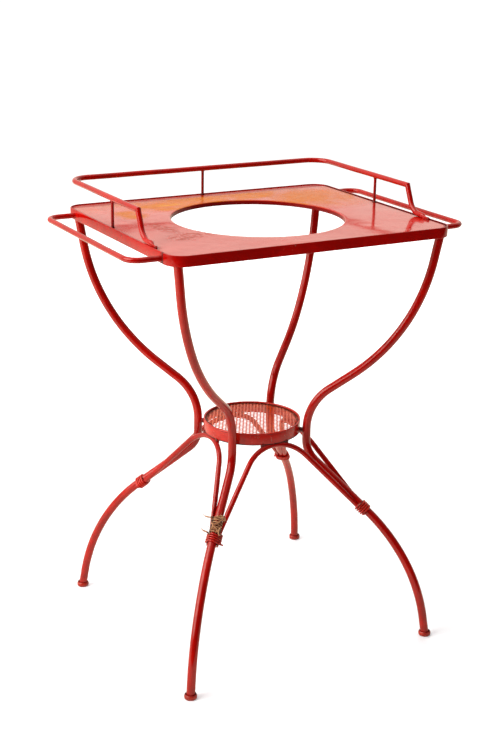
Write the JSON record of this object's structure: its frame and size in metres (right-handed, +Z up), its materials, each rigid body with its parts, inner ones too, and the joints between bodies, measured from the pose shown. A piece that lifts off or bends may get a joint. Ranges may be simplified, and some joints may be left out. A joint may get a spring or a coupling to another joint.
{
  "type": "wash basin stand",
  "caption": "Painted iron wash basin stand: flat tray with a round basin hole, low gallery rail, side towel rails, S-bent tube legs tied at a waist by a small perforated shelf",
  "frame": {"origin": "on the floor, below the middle of the tray and of the feet", "axes": "+X to the right along the tray's width, +Y to the rear where the gallery closes, +Z up; the open front of the gallery faces -Y"},
  "size_m": [0.6802, 0.519, 0.8551],
  "materials": {
    "tray_enamel": "glossy red enamel, worn to orange primer behind the hole",
    "rail_enamel": "glossy red enamel with chips",
    "frame_enamel": "satin red enamel with chips and light rust",
    "shelf_enamel": "satin red enamel",
    "painted_fasteners": "painted over with the frame",
    "worn_foot_enamel": "red enamel worn to rusty iron at the floor",
    "painted_wire": "iron wire painted over",
    "twine": "dry natural twine"
  },
  "bodies": {
    "root": {"tray_rim": "tray_enamel", "tray_plate": "tray_enamel", "corner_gusset_front_left": "frame_enamel", "corner_gusset_front_right": "frame_enamel", "corner_gusset_rear_left": "frame_enamel", "corner_gusset_rear_right": "frame_enamel", "leg_front_left": "frame_enamel", "leg_front_right": "frame_enamel", "leg_rear_left": "frame_enamel", "leg_rear_right": "frame_enamel", "foot_cup_front_left": "worn_foot_enamel", "foot_cup_front_right": "worn_foot_enamel", "foot_cup_rear_left": "worn_foot_enamel", "foot_cup_rear_right": "worn_foot_enamel", "gallery_rail": "rail_enamel", "gallery_end_left": "rail_enamel", "gallery_end_right": "rail_enamel", "gallery_post_rear": "rail_enamel", "gallery_post_left": "rail_enamel", "gallery_post_right": "rail_enamel", "gallery_tab_rivets": "painted_fasteners", "towel_rail_left": "rail_enamel", "towel_rail_right": "rail_enamel", "towel_rail_nuts": "painted_fasteners", "shelf_hoop": "shelf_enamel", "shelf_grille": "shelf_enamel", "grille_ring": "shelf_enamel", "shelf_studs": "painted_fasteners", "shelf_spacers": "painted_fasteners", "arch_rod_front": "frame_enamel", "arch_rod_rear": "frame_enamel", "arch_rod_left": "frame_enamel", "arch_rod_right": "frame_enamel", "arch_lugs": "painted_fasteners", "wire_wrap_front_left": "painted_wire", "wire_wrap_front_right": "painted_wire", "wire_wrap_rear_left": "painted_wire", "wire_wrap_rear_right": "painted_wire", "twine_binding": "twine"}
  },
  "joints": []
}
